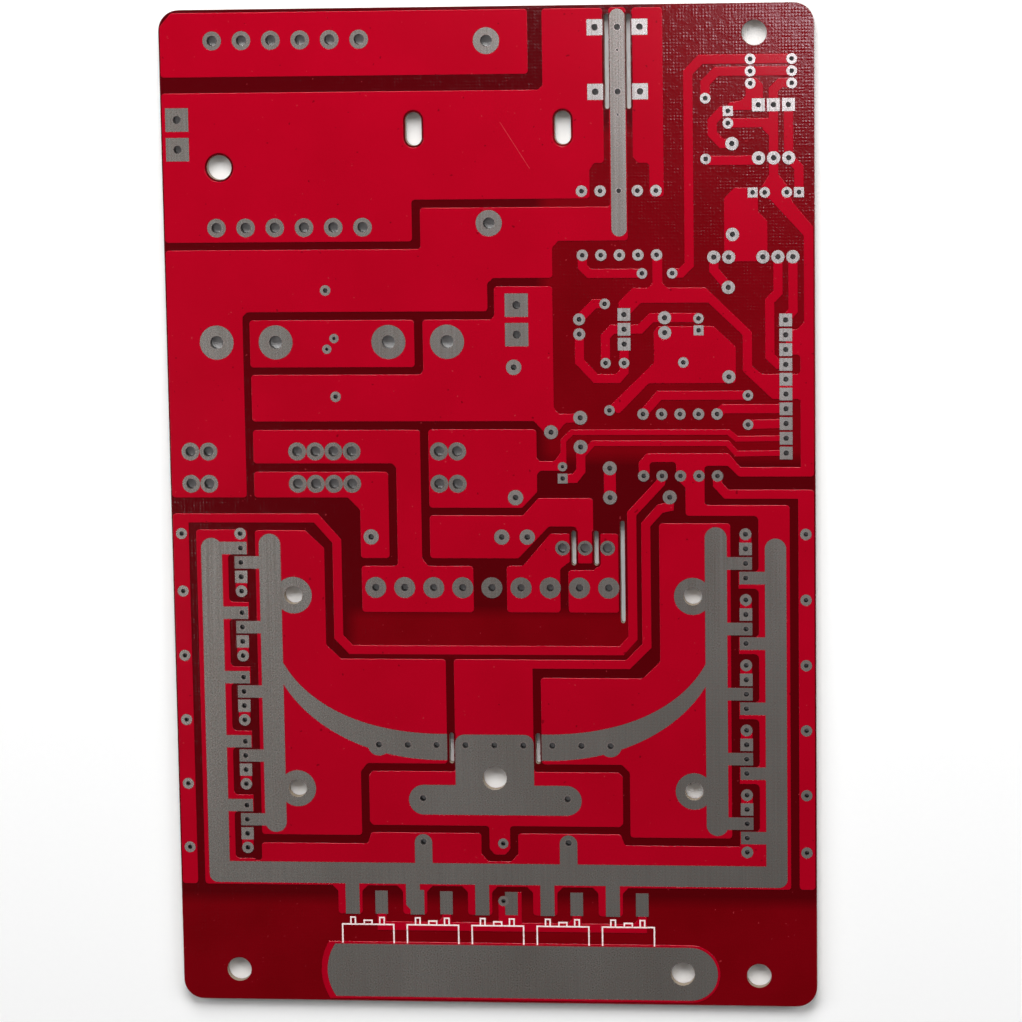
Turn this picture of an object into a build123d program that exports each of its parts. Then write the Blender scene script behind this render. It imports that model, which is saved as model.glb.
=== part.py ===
"""A bare inverter circuit board: drilled laminate, coated copper foil, tinned bars, plated eyelets and film.

Lengths are in millimetres. A place on the board is a share: percent of the width from the left edge, then
percent of the length from the lower edge, as the printed face is seen from above. A name in place of a number
takes that line from a named place. The printed face looks up (+Z).
The board lies on its back at z = 0, with its middle over the origin.
"""

import os
from collections import namedtuple
from math import radians, sin, tan

from build123d import *

# The board and its layers, from the back upwards
BOARD_WIDTH = 112.0
BOARD_LENGTH = 174.0
BOARD_CORNER = 3.5
REAR_FILM = 0.05
LAMINATE = 1.6
TOP_FILM = 0.04
FOIL = 0.105
TIN_RISE = 0.04
INK = 0.03
FACE = REAR_FILM + LAMINATE
TIN = FOIL + TIN_RISE
TOP = FACE + TIN

# Clearances and corners
PLATING = 0.08
FOIL_SETBACK = 0.33
FOIL_CORNER = 0.6
POCKET_CORNER = 0.8
BARREL_LAND_WIDTH = 0.5
CONTACT_MARGIN = 0.18
CONTACT_WALL_GAP = 0.9
SHUNT_MARGIN = 0.18
GATE_MARGIN = 0.7
SLOT_TRACK_GAP = 0.12
TRACK_GAP = 0.8

# Shares that every outline uses
WHOLE_SHARE = 100
HALF_SHARE = 0.5
SIDE_SHARE = 0.45

# Pitches of the rows of holes
PIN_PITCH = 2.54
KEY_PITCH = 2.05
TERMINAL_PITCH = 5.08
RELAY_PITCH = 3.175
CONTACT_PITCH = 3.9
TRANSISTOR_PITCH = 11.45
PACKAGE_PITCH = 11.49

# Plated holes: the open hole and the land around it
TERMINAL_HOLE = 1.8
TERMINAL_LAND = 3.2
STUD_HOLE = 2.0
STUD_LAND = 4.5
CAPACITOR_HOLE = 2.3
CAPACITOR_LAND = 5.9
RELAY_HOLE = 1.8
RELAY_LAND_GAP = 0.06
TRANSFORMER_HOLE = 1.3
TRANSFORMER_LAND = 3.65
CONTACT_HOLE = 1.7
CONTACT_LAND = 2.55
LUG_HOLE = 1.4
LUG_LAND = 4.0
SENSE_HOLE = 1.1
SENSE_LAND = 2.7
PIN_HOLE = 0.9
PIN_LAND_GAP = 0.36
LEAD_HOLE = 0.85
LEAD_LAND = 2.05
RAIL_HOLE = 0.8
RAIL_LAND = 1.95
SMALL_HOLE = 0.8
SMALL_LAND = 1.8
VIA_HOLE = 0.6
VIA_LAND = 1.6
WIRE_HOLE = 0.9
WIRE_LAND = 2.25
POST_HOLE = 1.0
POST_LAND = 2.65
MIDDLE_HOLE = 0.9
MIDDLE_LAND = 2.4
KEY_HOLE = 0.8
KEY_LAND = 1.7

# Reaches beside the shunt bar, past the header pins and to a bend
SENSE_REACH = 3.81
SLOT_REACH = 1.85
HEADER_TAB = 0.9
ROW_TURN = 1.1

# Bare holes and slots
SCREW_HOLE = 4.3
EYE_HOLE = 3.2
TAB_HOLE = 4.2
MAINS_SLOT_WIDTH = 2.8
MAINS_SLOT_LENGTH = 5.75
ISOLATION_SLOT = 0.8

# Tracks
TRACK = 1.6
FINE_TRACK = 1.0
LINK_TRACK = 2.1
GATE_TRACK = 1.6

# Tinned bars
OUTER_BUS = 3.65
INNER_BUS = 3.78
BASE_CORNER = 1.5
EYE_LAND = 6.45
FINGER_MARGIN = 0.8
POCKET_MARGIN = 1.1
ARM_HOLE = 1.1
ARM_LAND = 3.9
BASE_POST = 3.07
TAB_CORNER = 1.6
SHUNT_BAR = 2.6
SHUNT_HOLE = 1.05
SHUNT_VIA = 0.4
WIDE_BAR_MARGIN = 0.45
WIDE_BAR_TAIL = 1.1

# Flat transistors along the wide bar, from the middle of each package
PACKAGE_WIDTH = 9.1
SOURCE_STUB = 2.45
SOURCE_OFFSET = 2.66
GATE_LAND_WIDTH = 2.2
GATE_OFFSET = 2.48
LEG_LEFT = 5.2
LEG_RIGHT = 0.9
LEG_FLARE = 1.0
STUB_JOG = 0.75
JOG_LOW = 0.9
JOG_HIGH = 1.77
JOG_NECK = 1.1
INK_LINE = 0.25
LEG_MARK_WIDTH = 0.8
LEG_MARK_RISE = 1.25
TAB_MARK_WIDTH = 1.4
TAB_MARK_RISE = 0.7

# Numbers of repeated things
TERMINAL_COUNT = 6
RELAY_FOUR_COUNT = 4
RELAY_PAIR_COUNT = 2
LUG_COUNT = 2
CONTACT_COUNT = 3
TRANSFORMER_COUNT = 9
HEADER_COUNT = 10
ROW_COUNT = 5
TRANSISTOR_COUNT = 5
MIDDLE_TRANSISTOR = 2
PACKAGE_COUNT = 5
MIDDLE_PACKAGE = 2
JOGGED_PACKAGE = 1

Kind = namedtuple("Kind", "hole land square")

RELAY_LAND = RELAY_PITCH - RELAY_LAND_GAP
PIN_LAND = PIN_PITCH - PIN_LAND_GAP

TERMINAL = Kind(TERMINAL_HOLE, TERMINAL_LAND, False)
STUD = Kind(STUD_HOLE, STUD_LAND, False)
CAPACITOR = Kind(CAPACITOR_HOLE, CAPACITOR_LAND, False)
RELAY = Kind(RELAY_HOLE, RELAY_LAND, False)
TRANSFORMER = Kind(TRANSFORMER_HOLE, TRANSFORMER_LAND, False)
CONTACT = Kind(CONTACT_HOLE, CONTACT_LAND, False)
LUG = Kind(LUG_HOLE, LUG_LAND, True)
SENSE = Kind(SENSE_HOLE, SENSE_LAND, True)
PIN = Kind(PIN_HOLE, PIN_LAND, True)
LEAD = Kind(LEAD_HOLE, LEAD_LAND, False)
RAIL = Kind(RAIL_HOLE, RAIL_LAND, False)
SMALL = Kind(SMALL_HOLE, SMALL_LAND, False)
VIA = Kind(VIA_HOLE, VIA_LAND, False)
WIRE = Kind(WIRE_HOLE, WIRE_LAND, False)
POST = Kind(POST_HOLE, POST_LAND, False)
MIDDLE = Kind(MIDDLE_HOLE, MIDDLE_LAND, False)
KEY = Kind(KEY_HOLE, KEY_LAND, True)

# Places of bare holes and slots
SCREW_SHARES = [(8.9, 84.53), (91.0, 97.15), (8.9, 3.1), (91.0, 3.1)]
EYE_SHARES = [(18.9, 41.73), (18.9, 21.97), (81.1, 41.73), (81.1, 21.97)]
TAB_HOLE_SHARE = (50.0, 23.16)
WIDE_BAR_HOLE_SHARE = (79.1, 3.2)
MAINS_SLOT_SHARES = [(39.05, 88.15), (61.9, 88.15)]
WALL_SHARE = 70.33
# Each narrow slot: its x, its lower end and its upper end
ISOLATION_SHARES = [
    ("shunt_slot_left", 89.9, 99.15),
    ("shunt_slot_right", 89.9, 99.15),
    ("contact_slot_left", 44.8, 48.3),
    ("contact_slot_right", 44.8, 48.3),
    (WALL_SHARE, 39.0, 49.3),
    (43.3, 24.65, 27.8),
    (56.83, 24.65, 27.8),
]

# Places of plated holes on the power side
TERMINAL_SHARES = [(19.59, 96.96), (19.59, 78.55)]
STUD_SHARES = [(50.39, 96.67), (50.39, 78.86)]
CAPACITOR_SHARES = [(7.83, 67.17), (17.04, 67.17), (34.58, 67.17), (43.66, 67.17)]
RELAY_PAIR_SHARES = [(4.67, 56.25), (4.67, 53.0), (43.52, 56.25), (43.52, 53.0)]
RELAY_FOUR_SHARES = [(24.25, 56.25), (24.25, 53.0)]
TRANSFORMER_SHARE = 42.54
TRANSFORMER_END_SHARES = (31.86, 68.14)
CONTACT_SHARE = 46.55
LUG_SHARES = [(2.5, 87.79), (54.43, 69.31)]
SENSE_SHARES = [97.84, 91.59]
POST_SHARES = [(53.89, 64.61), (53.89, 51.61), (31.3, 47.65), (51.66, 47.65), (55.62, 47.65)]
TRANSISTOR_SHARE = (10.74, 31.88)
RAIL_SHARE = 1.5
ARM_ROW_SHARE = 26.52

# Places of plated holes on the control side, by name so that the tracks can end on them
CONTROL_SHARES = {
    "a2": (90.39, 93.43),
    "b2": (96.64, 93.43),
    "c1": (83.58, 90.86),
    "c3": (83.58, 84.97),
    "d1": (73.75, 73.83),
    "d2": (78.35, 73.83),
    "e1": (68.0, 70.85),
    "f1": (82.31, 69.38),
    "g1": (79.94, 65.04),
    "h1": (68.04, 65.0),
    "k1": (89.77, 61.77),
    "k2": (89.77, 58.87),
    "l1": (68.55, 60.31),
    "v1": (24.93, 72.31),
    "v2": (26.2, 61.73),
    "v3": (51.16, 16.46),
    "v4": (51.05, 10.52),
    "n1": (26.14, 67.54),
    "n2": (24.99, 66.47),
    "n3": (61.22, 54.7),
    "p1": (87.56, 86.44),
    "p2": (87.56, 77.6),
    "q2": (93.86, 85.02),
    "s2": (86.97, 75.38),
    "s4": (94.43, 75.38),
    "t1": (86.89, 72.41),
    "u1": (77.14, 69.45),
    "w1": (86.89, 63.61),
    "x1": (64.05, 69.33),
    "m1": (64.05, 59.58),
    "m2": (59.52, 58.15),
    "m3": (64.05, 56.67),
    "m4": (68.5, 54.55),
    "m5": (68.5, 51.62),
    "m6": (77.68, 51.65),
    "y1": (86.97, 89.6),
    "y2": (90.66, 81.67),
    "y3": (97.66, 81.67),
    "z2": (93.86, 90.17),
    "z5": (70.92, 68.33),
}
# Places a set step away from another: its name, the step to the right and the step up
STEPS = {
    "a1": ("a2", 0, KEY_PITCH),
    "a3": ("a2", 0, -KEY_PITCH),
    "b1": ("b2", 0, KEY_PITCH),
    "b3": ("b2", 0, -KEY_PITCH),
    "c2": ("y1", 0, -KEY_PITCH),
    "c4": ("y2", KEY_PITCH, 0),
    "c5": ("y3", -KEY_PITCH, 0),
    "y4": ("f1", 0, -KEY_PITCH),
    "y5": ("n3", 0, -KEY_PITCH),
    "h2": ("h1", RELAY_PITCH, 0),
    "q1": ("q2", -PIN_PITCH, 0),
    "q3": ("q2", PIN_PITCH, 0),
    "s1": ("s2", -PIN_PITCH, 0),
    "s3": ("s4", -PIN_PITCH, 0),
    "s5": ("s4", PIN_PITCH, 0),
    "u2": ("u1", 0, -PIN_PITCH),
    "x2": ("x1", 0, -PIN_PITCH),
    "z1": ("z2", -PIN_PITCH, 0),
    "z3": ("z2", PIN_PITCH, 0),
    "z4": ("z5", 0, PIN_PITCH),
    "z6": ("z5", 0, -PIN_PITCH),
    "tab2": ("pin2", 0, HEADER_TAB),
    "tab3": ("pin3", 0, -HEADER_TAB),
    "tab5": ("pin5", 0, HEADER_TAB),
    "tab6": ("pin6", 0, -HEADER_TAB),
    "rc5_turn": ("rc5", ROW_TURN, 0),
}
SMALL_NAMES = "a1 a2 a3 b1 b2 b3 c1 c2 c3 c4 c5 d1 d2 e1 f1 g1 h1 h2 k1 k2 l1 v1 v2 v3 v4".split()
VIA_NAMES = "n1 n2 n3".split()
KEY_NAMES = "y1 y2 y3 y4 y5".split()
WIRE_NAMES = "p1 p2 q1 q2 q3 s1 s2 s3 s4 s5 t1 u1 u2 w1".split()
LEAD_NAMES = "x1 x2".split()
MIDDLE_NAMES = "m1 m2 m3 m4 m5 m6".split()
TRIPLE_NAMES = "z1 z2 z3 z4 z5 z6".split()
SHUNT_SHARE = 70.33
ROW_SHARES = {
    "ra": (SHUNT_SHARE, 81.93),
    "rb": (SHUNT_SHARE, 75.64),
    "rc": (79.37, 59.93),
    "rd": (79.37, 53.78),
}
HEADER_SHARE = (95.56, 62.62)

# Tinned bars: places of their middles and ends
OUTER_BUS_SHARE = 6.15
OUTER_BUS_TOP_SHARE = 47.53
INNER_BUS_SHARE = 15.32
INNER_BUS_LOW_SHARE = 17.45
LEFT_INNER_TOP_SHARE = 47.95
RIGHT_INNER_TOP_SHARE = 48.66
BASE_LOW_SHARE = 12.2
BASE_FOIL_SHARE = 11.98
BASE_TOP_SHARE = 14.36
BASE_POST_SHARES = [38.6, 61.4]
BASE_POST_TOP_SHARE = 17.36
BASE_POST_HOLE_SHARE = 16.57
DRAIN_EDGE_SHARE = 42.6
ARM_UPPER_SHARES = [(16.2, 36.0), (18.4, 33.5), (23.2, 30.7), (31.3, 28.46), (DRAIN_EDGE_SHARE, 27.65)]
ARM_LOWER_SHARES = [(DRAIN_EDGE_SHARE, 25.0), (33.3, 25.6), (25.9, 27.4), (20.0, 30.2), (16.2, 33.6)]
CENTRE_LEFT_SHARE = 43.85
CENTRE_RIGHT_SHARE = 56.15
TAB_LOW_SHARE = (CENTRE_LEFT_SHARE, 21.0)
TAB_HIGH_SHARE = (CENTRE_RIGHT_SHARE, 27.6)
TAB_FOOT_LOW_SHARE = (36.45, 19.38)
TAB_FOOT_HIGH_SHARE = (63.55, 22.42)
TAB_FOOT_HOLE_SHARES = [(38.66, 21.05), (61.34, 21.05)]
SHUNT_LOW_SHARE = 77.48
SHUNT_TOP_SHARE = 99.6
SHUNT_VIA_SHARES = [95.63, 89.35]
WIDE_BAR_LOW_SHARE = (24.3, 0.45)
WIDE_BAR_HIGH_SHARE = (84.56, 5.9)
WIDE_BAR_NOSE_SHARE = 23.0
PACKAGE_SHARE = 50.1
PACKAGE_TOP_SHARE = 7.95
PACKAGE_LOW_SHARE = 6.0
SOURCE_LOW_SHARE = 9.03
GATE_LOW_SHARE = 9.08
GATE_TOP_SHARE = 11.46
GATE_TRACK_SHARE = 7.81

# Outlines of foil areas on the power side
INPUT_STRIP_SHARES = [(0.2, 93.4), (56.7, 93.4), (56.7, 99.7), (2.0, 99.7), (0.2, 98.4)]
INPUT_PLANE_SHARES = [
    (0.2, 91.85),
    (58.2, 91.85),
    (58.9, 92.3),
    (58.9, 99.7),
    ("sense_left", 99.7),
    ("sense_left", 84.65),
    (66.6, 84.65),
    (65.9, 83.95),
    (65.9, 81.2),
    (38.55, 81.2),
    (38.55, 77.1),
    (0.2, 77.1),
]
SHUNT_PLANE_SHARES = [
    (0.2, 51.6),
    (11.95, 51.6),
    (11.95, 69.7),
    (12.7, 70.16),
    (50.0, 70.16),
    (50.0, 72.9),
    (50.9, 73.43),
    (60.05, 73.43),
    (60.05, 76.4),
    (61.0, 77.05),
    ("shunt_right", 77.05),
    ("shunt_right", 99.75),
    ("shunt_left", 99.75),
    ("shunt_left", 80.4),
    (39.8, 80.4),
    (39.8, 76.35),
    (0.2, 76.35),
]
SENSE_STRIP_SHARES = [
    ("sense_right", 99.7),
    (77.2, 99.7),
    (77.2, 81.3),
    (75.0, 81.3),
    (75.0, 84.62),
    (73.3, 84.62),
    ("sense_right", 85.2),
]
CAPACITOR_LINK_SHARES = [(13.0, 64.65), (38.6, 64.65), (38.6, 69.36), (13.0, 69.36)]
OUTPUT_PLANE_SHARES = [
    (13.08, 59.24),
    (13.08, 63.92),
    (39.4, 63.92),
    (39.9, 64.3),
    (39.9, 69.36),
    (50.5, 69.36),
    (51.0, 69.75),
    (51.0, 72.62),
    (60.0, 72.62),
    (60.0, 60.6),
    (60.7, 59.97),
    (64.05, 59.97),
    (64.05, 59.1),
    (61.8, 59.05),
    (60.0, 57.75),
    (59.0, 57.75),
    (56.9, 59.24),
]
WINDING_A_SHARES = [
    (13.14, 58.4),
    (39.22, 58.4),
    (39.22, 45.5),
    (40.1, 44.72),
    (47.16, 44.72),
    (47.16, 40.03),
    (29.7, 40.03),
    (29.7, 44.72),
    (35.4, 44.72),
    (35.4, 54.6),
    (34.8, 55.03),
    (13.14, 55.03),
]
WINDING_B_SHARES = [
    (13.14, 54.2),
    (34.14, 54.2),
    (34.14, 45.49),
    (29.65, 45.49),
    (29.65, 50.35),
    (27.8, 51.6),
    (13.14, 51.6),
]
RETURN_PLANE_SHARES = [
    (40.48, 50.57),
    (54.9, 50.57),
    (57.26, 52.17),
    (57.26, 53.9),
    (57.75, 54.28),
    (61.3, 54.28),
    (61.3, 56.3),
    (60.9, 56.1),
    (60.0, 55.25),
    (57.65, 55.25),
    (57.26, 55.6),
    (57.26, 58.44),
    (40.48, 58.44),
]
CONTACT_A_SHARES = [
    (40.48, 49.82),
    (55.0, 49.82),
    (57.4, 51.56),
    ("contact2_right", 51.56),
    ("contact2_right", 45.0),
    ("contact2_left", 45.0),
    ("contact2_left", 48.7),
    (59.0, 48.7),
    (54.2, 45.49),
    (40.48, 45.49),
]
CONTACT_B_SHARES = [
    (52.33, 44.76),
    (54.9, 44.76),
    (59.2, 48.0),
    ("contact1_right", 48.0),
    ("contact1_right", 45.28),
    (60.65, 44.4),
    (60.65, 40.04),
    (52.33, 40.04),
]
CONTACT_C_SHARES = [
    (61.9, 44.33),
    (65.9, 44.33),
    ("contact3_left", 44.9),
    ("contact3_left", 48.0),
    (69.75, 48.0),
    (69.75, 40.04),
    (61.9, 40.04),
]
LEFT_DRAIN_SHARES = [
    (13.05, 17.18),
    (28.95, 17.18),
    (28.95, 23.75),
    (30.0, 24.6),
    (DRAIN_EDGE_SHARE, 24.6),
    (DRAIN_EDGE_SHARE, 35.28),
    (26.2, 35.28),
    (23.9, 36.7),
    (23.9, 46.5),
    (20.95, 48.31),
    (13.05, 48.31),
]
RIGHT_DRAIN_SHARES = [
    (86.95, 49.04),
    (75.98, 49.04),
    (75.98, 35.14),
    (73.3, 33.42),
    (WHOLE_SHARE - DRAIN_EDGE_SHARE, 33.42),
    (WHOLE_SHARE - DRAIN_EDGE_SHARE, 24.6),
    (69.9, 24.6),
    (71.1, 23.8),
    (71.1, 17.18),
    (86.95, 17.18),
]
CENTRE_SHARES = [
    (CENTRE_LEFT_SHARE, 35.28),
    (CENTRE_RIGHT_SHARE, 35.28),
    (CENTRE_RIGHT_SHARE, 23.82),
    (69.4, 23.82),
    (70.0, 23.4),
    (70.0, 18.6),
    (69.5, 18.24),
    (52.28, 18.24),
    (52.28, 15.9),
    (51.5, 15.29),
    (49.8, 15.29),
    (49.0, 15.9),
    (49.0, 18.24),
    (30.7, 18.24),
    (30.2, 18.6),
    (30.2, 23.4),
    (30.8, 23.82),
    (CENTRE_LEFT_SHARE, 23.82),
]
LEFT_OUTER_SHARES = [(3.8, BASE_FOIL_SHARE), (11.85, BASE_FOIL_SHARE), (11.85, 48.37), (3.8, 48.37)]
RIGHT_OUTER_SHARES = [(88.15, BASE_FOIL_SHARE), (96.05, BASE_FOIL_SHARE), (96.05, 50.87), (88.15, 50.87)]
CHANNEL_SHARE = 13.0
LOWER_PLANE_SHARES = [
    (8.0, BASE_FOIL_SHARE),
    (8.0, 14.5),
    (12.95, 14.5),
    (12.95, 16.33),
    (29.8, 16.33),
    (30.4, 17.5),
    (47.75, 17.5),
    (47.75, 15.4),
    (48.8, 14.6),
    (52.4, 14.6),
    (53.5, 15.4),
    (53.5, 17.5),
    (69.6, 17.5),
    (70.2, 16.37),
    (92.0, 16.37),
    (92.0, BASE_FOIL_SHARE),
]
BAND_LOW_SHARE = 49.78
SUPPLY_BAND_SHARES = [
    (80.1, BAND_LOW_SHARE),
    (95.0, BAND_LOW_SHARE),
    (95.0, 50.87),
    (83.0, 50.87),
    (83.0, 52.0),
    (80.1, 52.0),
]
LEFT_RAIL_SHARES = [(0.2, 12.0), (2.65, 12.0), (2.65, 50.0), (0.2, 50.0)]
RIGHT_RAIL_SHARES = [(97.35, 12.0), (99.8, 12.0), (99.8, 52.4), (97.35, 52.4)]

# Outlines of foil areas on the control side
FAN_SHARES = [
    (93.15, 83.4),
    (94.6, 83.4),
    (95.8, 82.4),
    (96.7, 80.7),
    (99.8, 78.3),
    (99.8, 76.5),
    (98.35, 76.5),
    (98.35, 77.4),
    (93.2, 81.0),
    (92.0, 81.2),
    (92.0, 82.2),
]
FAN_GUSSET_SHARES = [(91.7, 88.1), (93.6, 88.1), (93.6, 86.9)]
CONTROL_RAIL_SHARES = [
    (98.35, 77.0),
    (99.8, 77.0),
    (99.8, 53.7),
    (97.75, 53.7),
    (97.75, "tab6"),
    ("tab6", "tab6"),
    ("tab5", "tab5"),
    (97.75, "tab5"),
    (97.75, "tab3"),
    ("tab3", "tab3"),
    ("tab2", "tab2"),
    (97.3, "tab2"),
    (98.35, 69.0),
]
SUPPLY_TRACK_SHARES = [
    (99.0, 53.7),
    (88.3, 53.7),
    (86.65, 54.77),
    (83.05, 54.77),
    (83.05, 50.2),
    (80.1, 50.2),
    (80.1, 52.6),
    (78.7, 53.5),
    (78.7, 55.15),
    (74.65, 55.15),
    (74.65, 53.78),
    (72.95, 53.78),
    (72.95, 55.15),
    (74.2, 56.03),
    (86.75, 56.03),
    (88.55, 54.65),
    (99.0, 54.65),
]
SUPPLY_ARM_SHARES = [
    (75.33, 75.5),
    (76.87, 75.5),
    (76.87, 72.9),
    (77.5, 72.41),
    (83.4, 72.41),
    (90.45, 68.0),
    (90.45, 64.6),
    (91.9, "tab5"),
    ("tab5", "tab5"),
    ("tab6", "tab6"),
    (93.5, "tab6"),
    (89.0, 64.13),
    (89.0, 67.7),
    (83.8, 70.9),
    (73.5, 70.9),
    (71.9, 69.8),
    (70.1, 69.8),
    (70.1, 71.0),
    (72.3, 72.41),
    (74.7, 72.41),
    (75.33, 72.9),
]
ELBOW_SHARES = [
    (89.68, "a3"),
    ("a3", 92.75),
    (91.4, 92.75),
    (92.32, 92.15),
    (92.32, 89.65),
    (87.0, 89.65),
    (87.0, 90.4),
    (89.0, 90.6),
    (89.68, 91.05),
]
BLOCK_SHARES = [
    (86.3, 81.1),
    (87.9, 82.14),
    (91.47, 82.14),
    (91.47, 79.8),
    (92.87, 78.9),
    (92.87, 74.93),
    (86.3, 74.93),
]
PADDLE_SHARES = [
    (75.44, 68.0),
    (75.95, 68.6),
    (84.6, 68.6),
    (87.97, 66.55),
    (87.97, 62.96),
    (74.64, 62.96),
    (69.9, 59.85),
    (68.6, 60.75),
    (75.44, 65.0),
]

GROUND_SHARES = [
    LOWER_PLANE_SHARES,
    SUPPLY_BAND_SHARES,
    SUPPLY_TRACK_SHARES,
    CONTROL_RAIL_SHARES,
    FAN_SHARES,
    FAN_GUSSET_SHARES,
    SUPPLY_ARM_SHARES,
]

# Stops of the tracks: names of holes, and bends in shares
RETURN_ROUTE_SHARES = ["pin9", (88.0, 57.45), (86.75, 58.12), (62.7, 58.12), (61.4, 57.3), (61.4, 54.7)]
CENTRE_ROUTE_SHARES = [
    "m6",
    (77.6, 50.7),
    (76.2, 50.5),
    ("centre_line", 48.9),
    ("centre_line", 36.7),
    (71.0, 34.8),
    (50.0, 34.8),
]
GROUND_ROUTE_SHARES = [
    ["b3", (94.9, "b3"), (93.86, 91.6), "z2", "q2", (93.86, 82.8)],
    ["c2", (93.86, "c2")],
]
LEFT_GATE_ROUTE_SHARES = [
    "rd2",
    (76.3, 53.1),
    ("gate_line", 50.0),
    ("gate_line", 37.5),
    (70.0, 36.2),
    (27.8, 36.2),
    (25.9, 37.5),
    (25.9, 47.2),
    (22.7, 49.53),
    (1.5, 49.53),
]
RIGHT_GATE_ROUTE_SHARES = ["rd5", ("rd5", 52.9), (86.4, 51.95), (98.6, 51.95)]
UPPER_ROUTE_SHARES = [
    ["b1", "a1", (82.9, "a1"), (80.97, 93.35), (80.97, 74.65), (79.7, 73.83), "d2"],
    ["b2", "a2", (85.3, "a2"), (83.58, 92.32), "c1"],
    ["y1", (86.1, "y1"), (84.6, 88.6), (84.6, 87.4), (86.0, 86.44), "p1"],
    ["z3", "q3", ("y3", 84.05), "y3"],
    [(83.58, 84.8), ("q1", 84.8)],
]
MIDDLE_ROUTE_SHARES = [
    ["s1", ("s1", 74.1), "t1"],
    ["s4", ("s4", 71.9), (93.15, 71.05), (93.15, 65.6), (94.4, "pin4"), "pin4"],
    ["s5", ("s5", 70.1), "pin1"],
    ["rb1", ("rb1", 74.5), (65.7, 73.83), "d1"],
    ["e1", (66.4, "e1"), "x1"],
    ["x2", ("x2", 65.15), (66.5, 63.45), (69.9, 63.45), ("h2", 64.15), "h2", "z6"],
    ["h1", ("h1", 67.6), (69.1, "z5"), "z5", (73.4, "z5"), (75.1, "u1"), "u1", (82.31, "u1")],
]
LOWER_ROUTE_SHARES = [
    ["k1", (76.2, "k1"), "rc1"],
    ["rc5", ("rc5_turn", "pin7"), "pin7"],
    ["k2", "pin8"],
    ["m3", ("m3", 54.3), (63.1, "y5"), "y5"],
]
HEADER_ROUTE_SHARES = ["pin10", (88.0, 55.98), (86.6, 57.02), (66.0, 57.02), ("m3", 55.65)]

spots = {}


def across(x_share):
    """The x of a share of the width, or of a named place."""
    if isinstance(x_share, str):
        return spots[x_share][0]
    return (x_share / WHOLE_SHARE - HALF_SHARE) * BOARD_WIDTH


def along(y_share):
    """The y of a share of the length, or of a named place."""
    if isinstance(y_share, str):
        return spots[y_share][1]
    return (y_share / WHOLE_SHARE - HALF_SHARE) * BOARD_LENGTH


def place(share):
    """The point on the board for a share."""
    x_share, y_share = share
    return across(x_share), along(y_share)


def row(centre, count, pitch):
    """Points in a row about a centre point, from the left."""
    x, y = centre
    return [(x + (i - (count - 1) / 2) * pitch, y) for i in range(count)]


def column(centre, count, pitch):
    """Points in a column about a centre point, from the top."""
    x, y = centre
    return [(x, y + ((count - 1) / 2 - i) * pitch) for i in range(count)]


def spread(ends, y, count):
    """Points in a row, evenly from one end to the other."""
    first, last = ends
    return [(first + i * (last - first) / (count - 1), y) for i in range(count)]


def flank(name, x, reach):
    """Names the lines at a reach to the left and to the right of an x."""
    spots[f"{name}_left"] = (x - reach, 0)
    spots[f"{name}_right"] = (x + reach, 0)


def turned(points):
    """The points turned half round about the middle of the two transistor banks."""
    return [(-x, 2 * along(TRANSISTOR_SHARE[1]) - y) for x, y in points]


def rounded(points, radius):
    """A flat area inside the points, each corner rounded as far as its sides allow."""
    corners = [Vector(x, y) for x, y in points]
    starts = []
    crowns = []
    ends = []
    for i, corner in enumerate(corners):
        back = corners[i - 1] - corner
        ahead = corners[(i + 1) % len(corners)] - corner
        half = radians(back.get_angle(ahead)) / 2
        reach = min(radius / tan(half), SIDE_SHARE * back.length, SIDE_SHARE * ahead.length)
        bend = reach * tan(half)
        bisector = (back.normalized() + ahead.normalized()).normalized()
        starts.append(corner + back.normalized() * reach)
        crowns.append(corner + bisector * (bend / sin(half) - bend))
        ends.append(corner + ahead.normalized() * reach)
    lines = []
    for i in range(len(corners)):
        lines.append(ThreePointArc(starts[i], crowns[i], ends[i]))
        lines.append(Line(ends[i], starts[(i + 1) % len(corners)]))
    return make_face(lines)


def area(shares):
    """A foil area from an outline in shares."""
    return rounded([place(share) for share in shares], FOIL_CORNER)


def block(low, high, radius):
    """An upright rectangle between two corner points, with rounded corners."""
    return rounded([low, (high[0], low[1]), high, (low[0], high[1])], radius)


def plate(low, high):
    """An upright rectangle between two corner points."""
    centre = ((low[0] + high[0]) / 2, (low[1] + high[1]) / 2)
    return Pos(*centre) * Rectangle(high[0] - low[0], high[1] - low[1])


def upright(x, low, high, width):
    """A bar along Y with round ends."""
    return Pos(x, (low + high) / 2) * SlotOverall(high - low, width, rotation=90)


def trail(points, width):
    """A track along straight runs, mitred at its bends."""
    return trace(Polyline(*points), width)


def land_shape(kind):
    """The flat outline of a land."""
    if kind.square:
        return Rectangle(kind.land, kind.land)
    return Circle(kind.land / 2)


def near(region, tools):
    """The tools whose boxes meet the box of the region."""
    box = region.bounding_box()
    chosen = []
    for tool in tools:
        other = tool.bounding_box()
        apart_x = other.min.X > box.max.X or other.max.X < box.min.X
        apart_y = other.min.Y > box.max.Y or other.max.Y < box.min.Y
        if not (apart_x or apart_y):
            chosen.append(tool)
    return chosen


def less(region, tools):
    """The region without what the nearby tools cover."""
    meeting = near(region, tools)
    return region - meeting if meeting else region


def eyelet(kind):
    """A plated hole: rear land, barrel and front land in one piece."""
    land = land_shape(kind)
    barrel = Circle(kind.hole / 2 + PLATING)
    body = extrude(land, REAR_FILM) + extrude(barrel, TOP) + Pos(0, 0, FACE) * extrude(land, TIN)
    return body - extrude(Circle(kind.hole / 2), TOP)


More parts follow.
